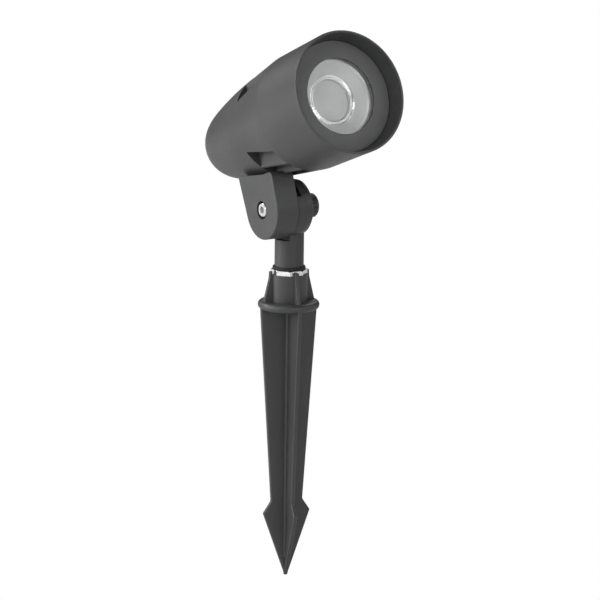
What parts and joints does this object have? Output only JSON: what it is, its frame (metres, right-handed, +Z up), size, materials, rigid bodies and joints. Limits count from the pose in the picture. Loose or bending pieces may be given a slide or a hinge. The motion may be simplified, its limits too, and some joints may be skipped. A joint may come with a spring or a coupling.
{
  "type": "garden spike spotlight",
  "caption": "Bullet-shaped garden spotlight with a deep hood, finned cooling slots, a tilting knuckle with a clamp knob, and a barbed cross-section ground spike.",
  "frame": {"origin": "on the stem axis in the underside of the spike flange, which rests on the ground: the spike is below it and the lamp above it", "axes": "+Z up along the stem; the head points to -Y at rest and up by 21.3 degrees; the tilt axis lies along X, with the clamp knob on the +X side and the socket screw on the -X side"},
  "size_m": [0.075, 0.1579, 0.3485],
  "materials": {
    "housing_paint": "satin",
    "stem_paint": "satin",
    "bezel_paint": "satin",
    "lens_glass": "polished",
    "black_rubber": "matte",
    "reflector_metal": "polished",
    "diffuser_plastic": "satin",
    "white_ceramic": "matte",
    "phosphor": "satin",
    "white_plastic": "matte",
    "bare_aluminium": "satin",
    "zinc_steel": "satin",
    "stainless": "satin",
    "bright_nut": "satin",
    "brass_insert": "satin",
    "green_laminate": "satin",
    "capacitor_sleeve": "satin",
    "ferrite": "matte",
    "copper_wire": "satin",
    "epoxy_black": "matte",
    "terminal_plastic": "matte",
    "wire_sleeve": "satin",
    "nylon_black": "matte",
    "knob_plastic": "matte",
    "washer_polymer": "matte",
    "spike_plastic": "satin"
  },
  "bodies": {
    "spike": {"spike": "spike_plastic", "captive_nut": "bright_nut"},
    "stem": {"stem_knuckle": "stem_paint", "stem_seal": "black_rubber"},
    "head": {"head_housing": "housing_paint", "bezel_ring": "bezel_paint", "glass_lens": "lens_glass", "lens_gasket": "black_rubber", "reflector": "reflector_metal", "diffuser": "diffuser_plastic", "led_holder": "white_plastic", "led_board": "white_ceramic", "led_emitter": "phosphor", "holder_screws": "stainless", "heat_plate": "bare_aluminium", "plate_screws": "stainless", "driver_spacers": "zinc_steel", "driver_board": "green_laminate", "spacer_screws": "stainless", "driver_capacitor": "capacitor_sleeve", "inductor_core": "ferrite", "inductor_winding": "copper_wire", "driver_rectifier": "epoxy_black", "terminal_block": "terminal_plastic", "led_wires": "wire_sleeve", "gland_body": "nylon_black", "gland_seal": "black_rubber", "gland_nut": "nylon_black", "pivot_screw": "stainless", "pivot_spring_washer": "zinc_steel", "friction_washer": "washer_polymer"},
    "knob": {"clamp_knob": "knob_plastic", "knob_insert": "brass_insert", "knob_washer": "zinc_steel"}
  },
  "joints": [
    {"name": "stem_swivel", "type": "hinge", "parent": "spike", "child": "stem", "pos_m": [0, 0, 0.02], "axis": [0, 0, 1], "range_deg": [-180, 180]},
    {"name": "head_tilt", "type": "hinge", "parent": "stem", "child": "head", "pos_m": [0, 0, 0.0629], "axis": [1, 0, 0], "range_deg": [-64, 66]},
    {"name": "knob_turn", "type": "hinge", "parent": "stem", "child": "knob", "pos_m": [0.0126, 0, 0.0629], "axis": [1, 0, 0], "range_deg": [-360, 0]}
  ]
}
